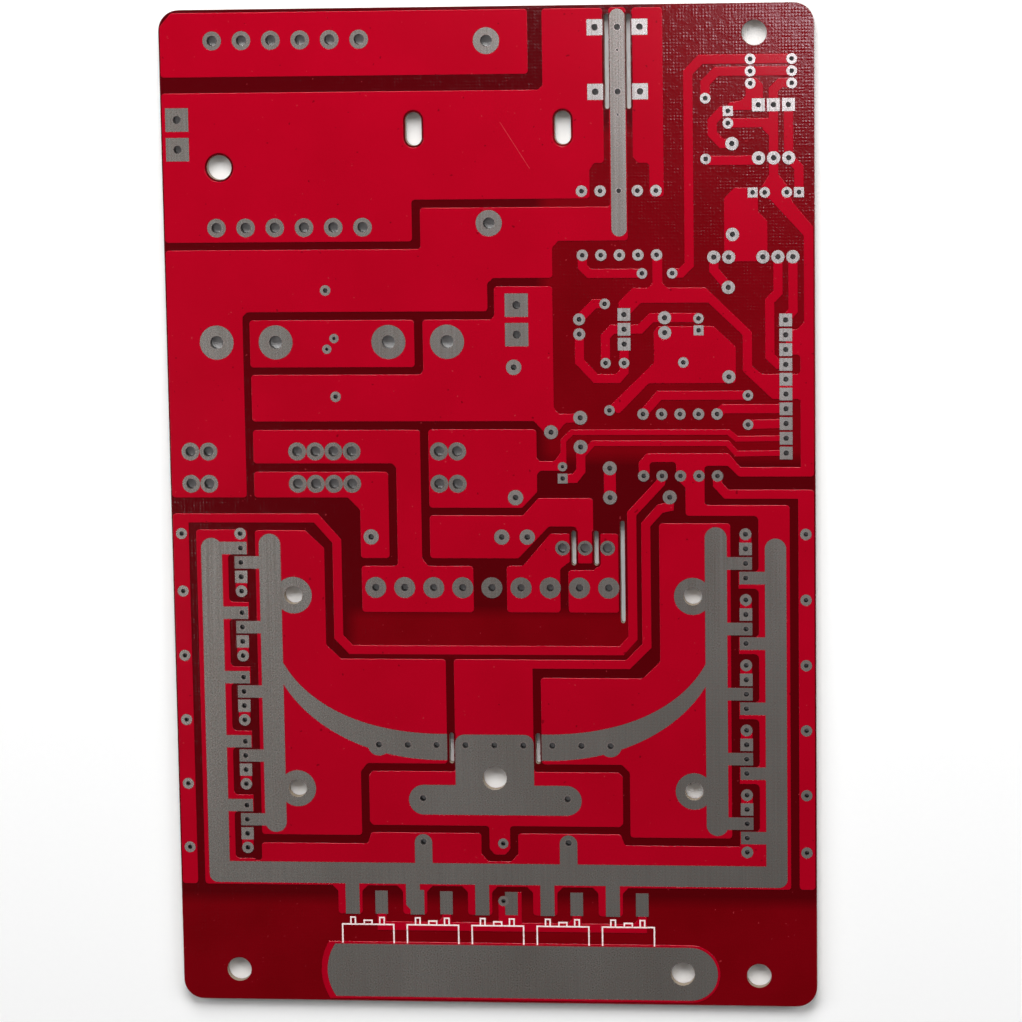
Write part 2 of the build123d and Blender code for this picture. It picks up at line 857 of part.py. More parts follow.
def lining(hole):
    """A plated hole inside a tinned bar: rear land and barrel in one piece."""
    land = Circle(hole / 2 + BARREL_LAND_WIDTH)
    body = extrude(land, REAR_FILM) + extrude(Circle(hole / 2 + PLATING), TOP)
    return body - extrude(Circle(hole / 2), TOP)


def save(name, shape):
    """One file for each named piece."""
    export_step(shape, f"parts/{name}.step")


# Transistor banks: five devices a side, the right bank turned half round
fet_x, fet_y = place(TRANSISTOR_SHARE)
drain_y = [fet_y + (MIDDLE_TRANSISTOR - i) * TRANSISTOR_PITCH for i in range(TRANSISTOR_COUNT)]
source_left = [(fet_x, y + PIN_PITCH) for y in drain_y]
drain_left = [(fet_x, y) for y in drain_y]
gate_left = [(fet_x, y - PIN_PITCH) for y in drain_y]
lead_left = [(fet_x, drain_y[0] + 2 * PIN_PITCH)] + [(fet_x, y - 2 * PIN_PITCH) for y in drain_y]
rail_left = [(across(RAIL_SHARE), y) for x, y in lead_left]

# Named places that the tracks use
for name, share in CONTROL_SHARES.items():
    spots[name] = place(share)
for name, share in ROW_SHARES.items():
    for i, point in enumerate(row(place(share), ROW_COUNT, RELAY_PITCH)):
        spots[f"{name}{i + 1}"] = point
for i, point in enumerate(column(place(HEADER_SHARE), HEADER_COUNT, PIN_PITCH)):
    spots[f"pin{i + 1}"] = point
for name, (lead, step_right, step_up) in STEPS.items():
    spots[name] = (spots[lead][0] + step_right, spots[lead][1] + step_up)

# Lines that outlines, slots and tracks keep to
shunt_x = across(SHUNT_SHARE)
flank("shunt", shunt_x, SHUNT_BAR / 2 + SHUNT_MARGIN)
flank("sense", shunt_x, SENSE_REACH - SENSE_LAND / 2)
flank("shunt_slot", shunt_x, SLOT_REACH)
wall_left = across(WALL_SHARE) - ISOLATION_SLOT / 2
wall_right = across(WALL_SHARE) + ISOLATION_SLOT / 2
contact_x = wall_left - CONTACT_WALL_GAP - CONTACT_LAND / 2 - CONTACT_PITCH
contacts = row((contact_x, along(CONTACT_SHARE)), CONTACT_COUNT, CONTACT_PITCH)
flank("contact_slot", contact_x, CONTACT_PITCH / 2)
for i, point in enumerate(contacts):
    flank(f"contact{i + 1}", point[0], CONTACT_LAND / 2 + CONTACT_MARGIN)
gate_line = wall_right + FOIL_SETBACK + SLOT_TRACK_GAP + TRACK / 2
spots["gate_line"] = (gate_line, 0)
spots["centre_line"] = (gate_line + TRACK + TRACK_GAP, 0)


def route(stops):
    """Points of a track from names of holes and shares."""
    return [spots[stop] if isinstance(stop, str) else place(stop) for stop in stops]


def tracks(routes, width):
    """One track for each route."""
    return [trail(route(stops), width) for stops in routes]


def named(names):
    """The places of named holes."""
    return [spots[name] for name in names]


# Plated holes with lands, by node
terminals = [p for share in TERMINAL_SHARES for p in row(place(share), TERMINAL_COUNT, TERMINAL_PITCH)]
relays = [p for share in RELAY_FOUR_SHARES for p in row(place(share), RELAY_FOUR_COUNT, RELAY_PITCH)]
relays += [p for share in RELAY_PAIR_SHARES for p in row(place(share), RELAY_PAIR_COUNT, RELAY_PITCH)]
lugs = [p for share in LUG_SHARES for p in column(place(share), LUG_COUNT, TERMINAL_PITCH)]
coil_ends = [across(share) for share in TRANSFORMER_END_SHARES]
coils = spread(coil_ends, along(TRANSFORMER_SHARE), TRANSFORMER_COUNT)
arm_row = spread(coil_ends, along(ARM_ROW_SHARE), TRANSFORMER_COUNT)
senses = [(shunt_x + side * SENSE_REACH, along(share)) for share in SENSE_SHARES for side in (-1, 1)]
row_names = [f"{name}{i + 1}" for name in ROW_SHARES for i in range(ROW_COUNT)]
row_names.remove("ra3")
headers = [spots[f"pin{i + 1}"] for i in range(HEADER_COUNT)]
eyelets = {
    "terminal_eyelets": [(TERMINAL, terminals)],
    "stud_eyelets": [(STUD, [place(share) for share in STUD_SHARES])],
    "capacitor_eyelets": [(CAPACITOR, [place(share) for share in CAPACITOR_SHARES])],
    "relay_eyelets": [(RELAY, relays)],
    "transformer_eyelets": [(TRANSFORMER, coils)],
    "contact_eyelets": [(CONTACT, contacts)],
    "lug_eyelets": [(LUG, lugs)],
    "sense_eyelets": [(SENSE, senses)],
    "post_eyelets": [(POST, [place(share) for share in POST_SHARES])],
    "header_eyelets": [(PIN, headers)],
    "resistor_eyelets": [(RAIL, named(row_names))],
    "control_eyelets": [(SMALL, named(SMALL_NAMES)), (VIA, named(VIA_NAMES)), (KEY, named(KEY_NAMES))],
    "wire_eyelets": [(WIRE, named(WIRE_NAMES)), (LEAD, named(LEAD_NAMES)), (MIDDLE, named(MIDDLE_NAMES))],
    "triple_eyelets": [(PIN, named(TRIPLE_NAMES))],
    "transistor_eyelets": [(PIN, gate_left + turned(gate_left)), (LEAD, lead_left + turned(lead_left))],
    "rail_eyelets": [(RAIL, rail_left + turned(rail_left))],
}

# Plated holes inside the tinned bars
linings = [(PIN_HOLE, source_left + drain_left + turned(source_left) + turned(drain_left))]
linings.append((ARM_HOLE, arm_row))
linings.append((ARM_HOLE, [place(share) for share in TAB_FOOT_HOLE_SHARES]))
linings.append((ARM_HOLE, [place((share, BASE_POST_HOLE_SHARE)) for share in BASE_POST_SHARES]))
linings.append((SHUNT_HOLE, [(shunt_x, along(share)) for share in SENSE_SHARES]))
linings.append((SMALL_HOLE, [spots["ra3"]]))
linings.append((SHUNT_VIA, [(shunt_x, along(share)) for share in SHUNT_VIA_SHARES]))

# Bare holes and slots, as round holes and upright slots
bare_holes = [(SCREW_HOLE, place(share)) for share in SCREW_SHARES]
bare_holes += [(EYE_HOLE, place(share)) for share in EYE_SHARES]
bare_holes += [(TAB_HOLE, place(TAB_HOLE_SHARE)), (TAB_HOLE, place(WIDE_BAR_HOLE_SHARE))]
slots = []
for share in MAINS_SLOT_SHARES:
    slot_x, slot_y = place(share)
    slots.append((slot_x, slot_y - MAINS_SLOT_LENGTH / 2, slot_y + MAINS_SLOT_LENGTH / 2, MAINS_SLOT_WIDTH))
for x_share, low_share, high_share in ISOLATION_SHARES:
    slots.append((across(x_share), along(low_share), along(high_share), ISOLATION_SLOT))


def openings(setback):
    """Flat outlines of every bare hole and slot, grown by a setback."""
    shapes = [Pos(*point) * Circle(hole / 2 + setback) for hole, point in bare_holes]
    for x, low, high, width in slots:
        shapes.append(upright(x, low - setback, high + setback, width + 2 * setback))
    return shapes


# Tinned bars
outer_x = across(OUTER_BUS_SHARE)
inner_x = across(INNER_BUS_SHARE)
base_low = along(BASE_LOW_SHARE)
base_top = along(BASE_TOP_SHARE)
base_middle = (base_low + base_top) / 2
package_x = [across(PACKAGE_SHARE) + (i - MIDDLE_PACKAGE) * PACKAGE_PITCH for i in range(PACKAGE_COUNT)]
half_pin = PIN_LAND / 2
ground_bar = [
    block((outer_x - OUTER_BUS / 2, base_low), (OUTER_BUS / 2 - outer_x, base_top), BASE_CORNER),
    upright(outer_x, base_low, along(OUTER_BUS_TOP_SHARE), OUTER_BUS),
    upright(-outer_x, base_low, along(OUTER_BUS_TOP_SHARE), OUTER_BUS),
]
for x, y in source_left:
    ground_bar.append(plate((outer_x, y - half_pin), (x + half_pin, y + half_pin)))
for x, y in turned(source_left):
    ground_bar.append(plate((x - half_pin, y - half_pin), (-outer_x, y + half_pin)))
for share in BASE_POST_SHARES:
    ground_bar.append(upright(across(share), base_low, along(BASE_POST_TOP_SHARE), BASE_POST))
stub_low = along(SOURCE_LOW_SHARE)
for i, x in enumerate(package_x):
    left = x - SOURCE_OFFSET - SOURCE_STUB / 2
    right = x - SOURCE_OFFSET + SOURCE_STUB / 2
    jog = STUB_JOG if i == JOGGED_PACKAGE else 0
    stub_points = [
        (left, stub_low),
        (right, stub_low),
        (right, base_low - JOG_NECK),
        (right - jog, base_low - JOG_NECK),
        (right - jog, base_middle),
        (left - jog, base_middle),
        (left - jog, stub_low + JOG_HIGH),
        (left, stub_low + JOG_LOW),
    ]
    if jog:
        ground_bar.append(Polygon(*stub_points, align=None))
    else:
        ground_bar.append(plate((left, stub_low), (right, base_middle)))

arm_edge = [
    Spline(*[place(share) for share in ARM_UPPER_SHARES]),
    Line(place(ARM_UPPER_SHARES[-1]), place(ARM_LOWER_SHARES[0])),
    Spline(*[place(share) for share in ARM_LOWER_SHARES]),
    Line(place(ARM_LOWER_SHARES[-1]), place(ARM_UPPER_SHARES[0])),
]
left_arm = make_face(arm_edge) + Pos(*arm_row[0]) * Circle(ARM_LAND / 2)
right_arm = mirror(left_arm, about=Plane.YZ)
inner_low = along(INNER_BUS_LOW_SHARE)
left_drain_bar = [upright(inner_x, inner_low, along(LEFT_INNER_TOP_SHARE), INNER_BUS), left_arm]
right_drain_bar = [upright(-inner_x, inner_low, along(RIGHT_INNER_TOP_SHARE), INNER_BUS), right_arm]
left_drain_bar += [Pos(*place(share)) * Circle(EYE_LAND / 2) for share in EYE_SHARES[:2]]
right_drain_bar += [Pos(*place(share)) * Circle(EYE_LAND / 2) for share in EYE_SHARES[2:]]
for x, y in drain_left:
    left_drain_bar.append(plate((x - half_pin, y - half_pin), (inner_x, y + half_pin)))
for x, y in turned(drain_left):
    right_drain_bar.append(plate((-inner_x, y - half_pin), (x + half_pin, y + half_pin)))

foot_low = place(TAB_FOOT_LOW_SHARE)
foot_high = place(TAB_FOOT_HIGH_SHARE)
foot_middle = ((foot_low[0] + foot_high[0]) / 2, (foot_low[1] + foot_high[1]) / 2)
foot = Pos(*foot_middle) * SlotOverall(foot_high[0] - foot_low[0], foot_high[1] - foot_low[1])
centre_tab = [block(place(TAB_LOW_SHARE), place(TAB_HIGH_SHARE), TAB_CORNER), foot]

shunt_bar = [upright(shunt_x, along(SHUNT_LOW_SHARE), along(SHUNT_TOP_SHARE), SHUNT_BAR)]


def wide_outline(margin, tail):
    """The wide bar with a full round right end and a shallow round left end, grown by a margin."""
    left, low = place(WIDE_BAR_LOW_SHARE)
    right, high = place(WIDE_BAR_HIGH_SHARE)
    middle = (low + high) / 2
    turn = right - (high - low) / 2
    nose = across(WIDE_BAR_NOSE_SHARE) - tail
    lines = [
        Line((left - tail, high + margin), (turn, high + margin)),
        ThreePointArc((turn, high + margin), (right + margin, middle), (turn, low - margin)),
        Line((turn, low - margin), (left - tail, low - margin)),
        ThreePointArc((left - tail, low - margin), (nose, middle), (left - tail, high + margin)),
    ]
    return make_face(lines)


gate_lands = []
for x in package_x:
    left = x + GATE_OFFSET - GATE_LAND_WIDTH / 2
    right = x + GATE_OFFSET + GATE_LAND_WIDTH / 2
    gate_lands.append(plate((left, along(GATE_LOW_SHARE)), (right, along(GATE_TOP_SHARE))))

plated = [(kind, point) for groups in eyelets.values() for kind, points in groups for point in points]
lands = [Pos(*point) * land_shape(kind) for kind, point in plated]
tinned = {
    "ground_bus": ground_bar,
    "left_drain_bus": left_drain_bar,
    "right_drain_bus": right_drain_bar,
    "centre_tab": centre_tab,
    "shunt_bar": shunt_bar,
    "wide_bar": [wide_outline(0, 0)],
    "gate_lands": gate_lands,
}
tin_areas = {name: less(Sketch() + shapes, lands) for name, shapes in tinned.items()}
tin_shapes = list(tin_areas.values())

# Foil: pockets beside the transistor pins, then the areas and tracks of each net
pocket_left = outer_x + OUTER_BUS / 2 + POCKET_MARGIN
pocket_high = -half_pin
pocket_low = half_pin + FINGER_MARGIN - TRANSISTOR_PITCH
channel_x = across(CHANNEL_SHARE)
pockets_left = [[(pocket_left, y + pocket_low), (channel_x, y + pocket_high)] for x, y in source_left]
pockets_right = [turned(pocket)[::-1] for pocket in pockets_left]
pockets_right[-1][1] = (pockets_right[-1][1][0], along(BAND_LOW_SHARE))
left_outer = area(LEFT_OUTER_SHARES) - [block(low, high, POCKET_CORNER) for low, high in pockets_left]
right_outer = area(RIGHT_OUTER_SHARES) - [block(low, high, POCKET_CORNER) for low, high in pockets_right]
foil_low = along(BASE_FOIL_SHARE)
legs = []
for x in package_x:
    leg_points = [
        (x - LEG_LEFT, stub_low),
        (x - LEG_RIGHT, stub_low),
        (x - LEG_RIGHT, foil_low - LEG_FLARE),
        (x - LEG_RIGHT + LEG_FLARE, foil_low),
        (x - LEG_RIGHT + LEG_FLARE, base_middle),
        (x - LEG_LEFT - LEG_FLARE, base_middle),
        (x - LEG_LEFT - LEG_FLARE, foil_low),
        (x - LEG_LEFT, foil_low - LEG_FLARE),
    ]
    legs.append(rounded(leg_points, FOIL_CORNER))

gate_y = along(GATE_TRACK_SHARE)
gate_top = along(GATE_TOP_SHARE)
gate_edge = gate_y + GATE_TRACK / 2
gate_x = [x + GATE_OFFSET for x in package_x]
gate_run = [trail([(gate_x[0], gate_y), (gate_x[-1] + GATE_TRACK / 2, gate_y)], GATE_TRACK)]
for x in gate_x:
    gate_run.append(trail([(x, gate_y - GATE_TRACK / 2), (x, gate_top)], GATE_TRACK))
for x in gate_x[1:]:
    gusset = [(x, gate_edge), (x, gate_edge + GATE_TRACK), (x - GATE_TRACK, gate_edge)]
    gate_run.append(Polygon(*gusset, align=None))
via_x, via_y = spots["v4"]
gate_run.append(plate((via_x - SMALL_LAND / 2, gate_y), (gate_x[MIDDLE_PACKAGE], via_y)))
block_right = gate_x[MIDDLE_PACKAGE] + GATE_LAND_WIDTH / 2 + GATE_MARGIN
gate_run.append(plate((gate_x[MIDDLE_PACKAGE], gate_y), (block_right, gate_top)))
bank_gates = gate_left + turned(gate_left)
bank_leads = lead_left[1:] + turned(lead_left[1:])

nets = {
    "input_strip": [area(INPUT_STRIP_SHARES)],
    "input_plane": [area(INPUT_PLANE_SHARES)],
    "shunt_plane": [area(SHUNT_PLANE_SHARES)],
    "sense_strip": [area(SENSE_STRIP_SHARES)],
    "capacitor_link": [area(CAPACITOR_LINK_SHARES)],
    "output_plane": [area(OUTPUT_PLANE_SHARES)],
    "winding_plane_a": [area(WINDING_A_SHARES)],
    "winding_plane_b": [area(WINDING_B_SHARES)],
    "return_plane": [area(RETURN_PLANE_SHARES), trail(route(RETURN_ROUTE_SHARES), FINE_TRACK)],
    "contact_plane_a": [area(CONTACT_A_SHARES)],
    "contact_plane_b": [area(CONTACT_B_SHARES)],
    "contact_plane_c": [area(CONTACT_C_SHARES)],
    "left_drain_plane": [area(LEFT_DRAIN_SHARES)],
    "right_drain_plane": [area(RIGHT_DRAIN_SHARES)],
    "centre_plane": [area(CENTRE_SHARES), trail(route(CENTRE_ROUTE_SHARES), TRACK)],
    "ground_plane": [left_outer, right_outer]
    + [area(shares) for shares in GROUND_SHARES]
    + tracks(GROUND_ROUTE_SHARES, TRACK)
    + legs,
    "left_gate_track": [area(LEFT_RAIL_SHARES), trail(route(LEFT_GATE_ROUTE_SHARES), TRACK)],
    "right_gate_track": [area(RIGHT_RAIL_SHARES), trail(route(RIGHT_GATE_ROUTE_SHARES), TRACK)],
    "low_gate_track": gate_run,
    "gate_links": [trail([gate, lead], LEAD_LAND) for gate, lead in zip(bank_gates, bank_leads)],
    "wide_bar_margin": [wide_outline(WIDE_BAR_MARGIN, WIDE_BAR_TAIL)],
    "upper_control_tracks": [area(ELBOW_SHARES), area(BLOCK_SHARES)] + tracks(UPPER_ROUTE_SHARES, TRACK),
    "middle_control_tracks": [area(PADDLE_SHARES)] + tracks(MIDDLE_ROUTE_SHARES, TRACK),
    "lower_control_tracks": tracks(LOWER_ROUTE_SHARES, TRACK)
    + [trail(route(HEADER_ROUTE_SHARES), FINE_TRACK), trail(named(["m4", "m5"]), LINK_TRACK)],
}
covers = lands + tin_shapes + openings(FOIL_SETBACK)
foil_outlines = {name: Sketch() + shapes for name, shapes in nets.items()}
foil_areas = {name: less(outline, covers) for name, outline in foil_outlines.items()}

# Printed outlines of the flat transistors, split where they step up onto the foil
marks = []
mark_top = along(PACKAGE_TOP_SHARE)
mark_low = along(PACKAGE_LOW_SHARE)
for x in package_x:
    left = x - PACKAGE_WIDTH / 2
    right = x + PACKAGE_WIDTH / 2
    marks.append(trail([(left, mark_low), (left, mark_top), (right, mark_top), (right, mark_low)], INK_LINE))
    notches = [
        (-SOURCE_OFFSET, LEG_MARK_WIDTH, LEG_MARK_RISE),
        (GATE_OFFSET, LEG_MARK_WIDTH, LEG_MARK_RISE),
        (0, TAB_MARK_WIDTH, TAB_MARK_RISE),
    ]
    for offset, width, rise in notches:
        left = x + offset - width / 2
        right = x + offset + width / 2
        tip = mark_top + rise
        marks.append(trail([(left, mark_top), (left, tip), (right, tip), (right, mark_top)], INK_LINE))
legend = less(Sketch() + marks, tin_shapes + lands)
legend_low = less(legend, list(foil_areas.values()))
legend_high = legend - legend_low

# The films and the laminate
board = RectangleRounded(BOARD_WIDTH, BOARD_LENGTH, BOARD_CORNER)
top_film = board - (list(foil_areas.values()) + lands + tin_shapes + openings(0))
rear_lands = list(lands)
drills = [Pos(*point) * Circle(kind.hole / 2 + PLATING) for kind, point in plated]
for hole, points in linings:
    rear_lands += [Pos(*point) * Circle(hole / 2 + BARREL_LAND_WIDTH) for point in points]
    drills += [Pos(*point) * Circle(hole / 2 + PLATING) for point in points]
rear_film = board - (rear_lands + openings(0))
core = board - (drills + openings(0))

os.makedirs("parts", exist_ok=True)
save("laminate", Pos(0, 0, REAR_FILM) * extrude(core, LAMINATE))
save("top_film", Pos(0, 0, FACE) * extrude(top_film, TOP_FILM))
save("rear_film", extrude(rear_film, REAR_FILM))
marks_low = Pos(0, 0, FACE + TOP_FILM) * extrude(legend_low, INK)
marks_high = Pos(0, 0, FACE + FOIL) * extrude(legend_high, INK)
save("package_legend", Compound(marks_low.solids() + marks_high.solids()))
for name, flat in foil_areas.items():
    save(name, Pos(0, 0, FACE) * extrude(flat, FOIL))
bar_cuts = [Pos(*point) * Circle(hole / 2 + PLATING) for hole, points in linings for point in points]
for name, flat in tin_areas.items():
    save(name, Pos(0, 0, FACE) * extrude(less(flat, bar_cuts + openings(0)), TIN))
for name, groups in eyelets.items():
    pieces = [Pos(*point) * eyelet(kind).solid() for kind, points in groups for point in points]
    save(name, Compound(pieces))
barrels = [Pos(*point) * lining(hole).solid() for hole, points in linings for point in points]
save("bar_linings", Compound(barrels))
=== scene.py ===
"""The looks of the inverter circuit board: red coat, dark film, tin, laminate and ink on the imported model.

Lengths are in metres, in the model's own frame: the board lies on its back, printed face up,
with its top edge at +Y. Colours are linear red, green and blue. Waves are a noise's scale in waves
per metre, one number for all axes or one for each. A range says between which two values a mix runs
and, where it has four numbers, the shares that it starts and ends with.
"""

from math import atan2, pi, radians

import bpy
from mathutils import Matrix, Quaternion, Vector


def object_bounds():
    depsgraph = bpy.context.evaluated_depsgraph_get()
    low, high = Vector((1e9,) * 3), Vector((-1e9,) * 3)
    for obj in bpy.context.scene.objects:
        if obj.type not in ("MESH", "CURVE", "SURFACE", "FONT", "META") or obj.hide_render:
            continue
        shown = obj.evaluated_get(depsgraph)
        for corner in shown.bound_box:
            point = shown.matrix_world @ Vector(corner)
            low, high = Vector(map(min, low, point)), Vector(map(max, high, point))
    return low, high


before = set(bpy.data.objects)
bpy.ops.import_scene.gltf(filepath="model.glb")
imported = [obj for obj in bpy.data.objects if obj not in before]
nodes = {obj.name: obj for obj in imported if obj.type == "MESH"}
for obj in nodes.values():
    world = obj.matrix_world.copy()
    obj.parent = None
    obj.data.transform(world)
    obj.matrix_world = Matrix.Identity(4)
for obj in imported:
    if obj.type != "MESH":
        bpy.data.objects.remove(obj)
cad_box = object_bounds()
low_corner = Vector(cad_box[0])
board_size = Vector(cad_box[1]) - low_corner
MM = 0.001
WHITE = (1.0, 1.0, 1.0)

# Nodes by finish
BARS = {
    "ground_bus", "left_drain_bus", "right_drain_bus", "centre_tab", "shunt_bar", "wide_bar", "gate_lands",
    "capacitor_eyelets", "stud_eyelets", "terminal_eyelets", "transformer_eyelets", "relay_eyelets",
    "contact_eyelets", "lug_eyelets",
}
LAND_ENDINGS = ("eyelets", "linings")

# Red coat on the foil
COAT_RED = (0.47, 0.0004, 0.0150)
COAT_DEEP = (0.42, 0.0003, 0.0120)
COAT_WORN = (0.62, 0.060, 0.075)
COAT_DENT = (0.16, 0.0003, 0.0050)
COAT_CLOUD_WAVES = 60
COAT_CLOUD_RANGE = (0.3, 0.7)
COAT_GRAIN_WAVES = 2500
COAT_GRAIN_RANGE = (0.4, 0.75, 0.0, 0.35)
COAT_GRAIN_DEPTH = 0.002 * MM
COAT_ROUNDING = 0.16 * MM
COAT_DUST_RANGE = (0.775, 0.795, 0.0, 0.4)
DUST_WAVES = 1500
DENT_WAVES = 1000
DENT_RANGE = (0.235, 0.215, 0.0, 0.7)
SCRATCH_SHARES = ((0.523, 0.8875), (0.568, 0.8415))
SCRATCH_WIDTH = 0.16 * MM
SCRATCH_RANGE = (0.3, 0.6, 0.35, 0.9)

# Dark film, with painted shade outside its wide fields, which are given as shares of the board: left, low,
# right and high
FILM_RED = (0.172, 0.0002, 0.0034)
FILM_DEEP = (0.145, 0.0001, 0.0024)
FILM_SHADED = (0.080, 0.0001, 0.0018)
FILM_CLOUD_WAVES = 90
FILM_CLOUD_RANGE = (0.3, 0.7)
FILM_DUST_RANGE = (0.785, 0.805, 0.0, 0.3)
FILM_RELIEF = 0.016 * MM
FILM_GRAIN_WAVES = 1500
FILM_GRAIN_SHARE = 0.7
WEAVE_PITCH = 0.56 * MM
WEAVE_PATCH_WAVES = 900
WEAVE_PATCH_RANGE = (0.35, 0.7)
LOWER_FIELD_SHARES = (-0.1, -0.1, 1.1, 0.105)
MIDDLE_FIELD_SHARES = (0.28, 0.36, 0.72, 0.40)
CONTROL_FIELD_SHARES = (0.585, 0.555, 1.1, 0.88)
CORNER_FIELD_SHARES = (0.76, 0.86, 1.1, 1.1)
WIDE_FIELD_SHARES = (LOWER_FIELD_SHARES, MIDDLE_FIELD_SHARES, CONTROL_FIELD_SHARES, CORNER_FIELD_SHARES)
FIELD_BLUR = 1.2 * MM

# Tin on the bars and lands, brushed in the upper part of the board, with a painted white sheen on the lands
# in one box
TIN_LIGHT = (0.48, 0.435, 0.40)
TIN_DULL = (0.36, 0.315, 0.28)
TIN_DARK = (0.24, 0.205, 0.18)
TIN_PALE = (0.70, 0.67, 0.64)
TIN_WARM = (0.46, 0.35, 0.32)
TIN_COOL = (0.39, 0.42, 0.39)
# Painted highlight: the pale colour laid along the tin's edges
TIN_RIM_PAINTED_HIGHLIGHT = (0.80, 0.60, 0.56)
LAND_LIGHT = (0.72, 0.65, 0.61)
LAND_DULL = (0.50, 0.44, 0.40)
LAND_PAINTED_SHEEN = (0.97, 0.93, 0.90)
# Painted shade: the dark colour laid on the walls inside the holes
BARREL_PAINTED_SHADE = (0.022, 0.014, 0.011)
TIN_CLOUD_WAVES = (45, 25, 25)
TIN_CLOUD_RANGE = (0.35, 0.65, 0.0, 0.7)
STREAK_WAVES = (2300, 40, 40)
STREAK_DARK_SHARE = 0.5
STREAK_PALE_SHARE = 0.4
STREAK_ROUGH_RANGE = (0.3, 0.7, 0.0, 0.03)
BRUSHED_SHARES = (0.27, 0.454)
BRUSHED_STRENGTHS = (0.15, 1.0)
TIN_GRAIN_WAVES = 4200
TIN_GRAIN_SHARE = 0.2
TIN_ROUGH_RANGE = (0.3, 0.7, 0.23, 0.28)
TINT_WAVES = 3000
TINT_SHARE = 0.4
TIN_WEAVE_RANGE = (0.1, 0.6, 0.0, 0.12)
TIN_WEAVE_SHARE = 0.5
TIN_RELIEF = 0.003 * MM
PAINTED_HIGHLIGHT_RIM_WIDTH = 0.14 * MM
PAINTED_HIGHLIGHT_RIM_SHARE = 0.6
PAINTED_SHEEN_LAND_SHARES = (0.62, 0.60, 1.1, 1.1)
LAND_BLUR = 9.0 * MM
BARREL_SHADE_DEPTH = 0.5 * MM
BARREL_SHADE_SHARES = (1.0, 0.3)

# Laminate, ink and paper
LAMINATE_PALE = (0.36, 0.30, 0.22)
LAMINATE_DARK = (0.20, 0.15, 0.10)
LAYER_WAVES = (300, 300, 9000)
LAYER_RANGE = (0.35, 0.65)
SAW_MARKS = 0.02 * MM
INK_WHITE = (0.90, 0.80, 0.78)
INK_WORN = (0.70, 0.45, 0.45)
INK_WAVES = 2500
INK_RANGE = (0.45, 0.8)
FLOOR_WHITE = (0.97, 0.97, 0.965)
FLOOR_GREY = (0.95, 0.95, 0.95)
FIBRE_WAVES = 900

# Ranges that materials share: high and low parts of a noise, and what tells upright faces and edges apart
HIGH_RANGE = (0.5, 0.75)
LOW_RANGE = (0.5, 0.25)
UPRIGHT_RANGE = (0.4, 0.6)
EDGE_RANGE = (0.98, 0.85)
EDGE_SAMPLES = 4
NOISE_ROUGHNESS = 0.55

# Places of the sockets of a Mix node for colours
MIX_SHARE = 0
MIX_FIRST = 6
MIX_SECOND = 7
MIX_RESULT = 2

# The floor
FLOOR_SIZE = 3.0
FLOOR_DROP = 0.3 * MM

# Soft lights round the board, low enough that their reflections miss the camera
SIDE_SIZE = 0.5
LEFT_PLACE = (-0.75, 0.3, 0.6)
LEFT_POWER = 3.2
RIGHT_PLACE = (0.75, 0.3, 0.6)
RIGHT_POWER = 3.6
UPPER_PLACE = (0.0, 0.6, 0.5)
UPPER_POWER = 7.0
LOWER_PLACE = (0.0, -0.75, 0.6)
LOWER_POWER = 0.2

# Lights above: for the shine on the upper right corner, for the upper tin and for the left bars
GLOSS_TINT = (0.96, 0.90, 1.0)
GLOSS_PLACE = (0.0534, 0.0966, 1.0)
GLOSS_SIZE = 0.07
GLOSS_POWER = 0.22
TOP_PLACE = (0.013, 0.252, 1.0)
TOP_SIZE = 0.3
TOP_POWER = 0.35
WINDOW_PLACE = (-0.425, -0.16, 1.0)
WINDOW_SIZE = 0.2
WINDOW_POWER = 0.3
SKY_STRENGTH = 0.012

# The camera, fitted to the corners of the board in the photograph
CAMERA_PLACE = (0.0744, 0.09893, 0.66453)
CAMERA_TARGET = (0.00352, 0.00045, 0.00165)
CAMERA_ROLL = radians(-0.85)
CAMERA_LENS = 137.4
CAMERA_SENSOR = 36.0
CAMERA_NEAR = 0.01


def on_board(x_share, y_share):
    """A place on the board in metres, from shares of its width and length."""
    return low_corner.x + x_share * board_size.x, low_corner.y + y_share * board_size.y


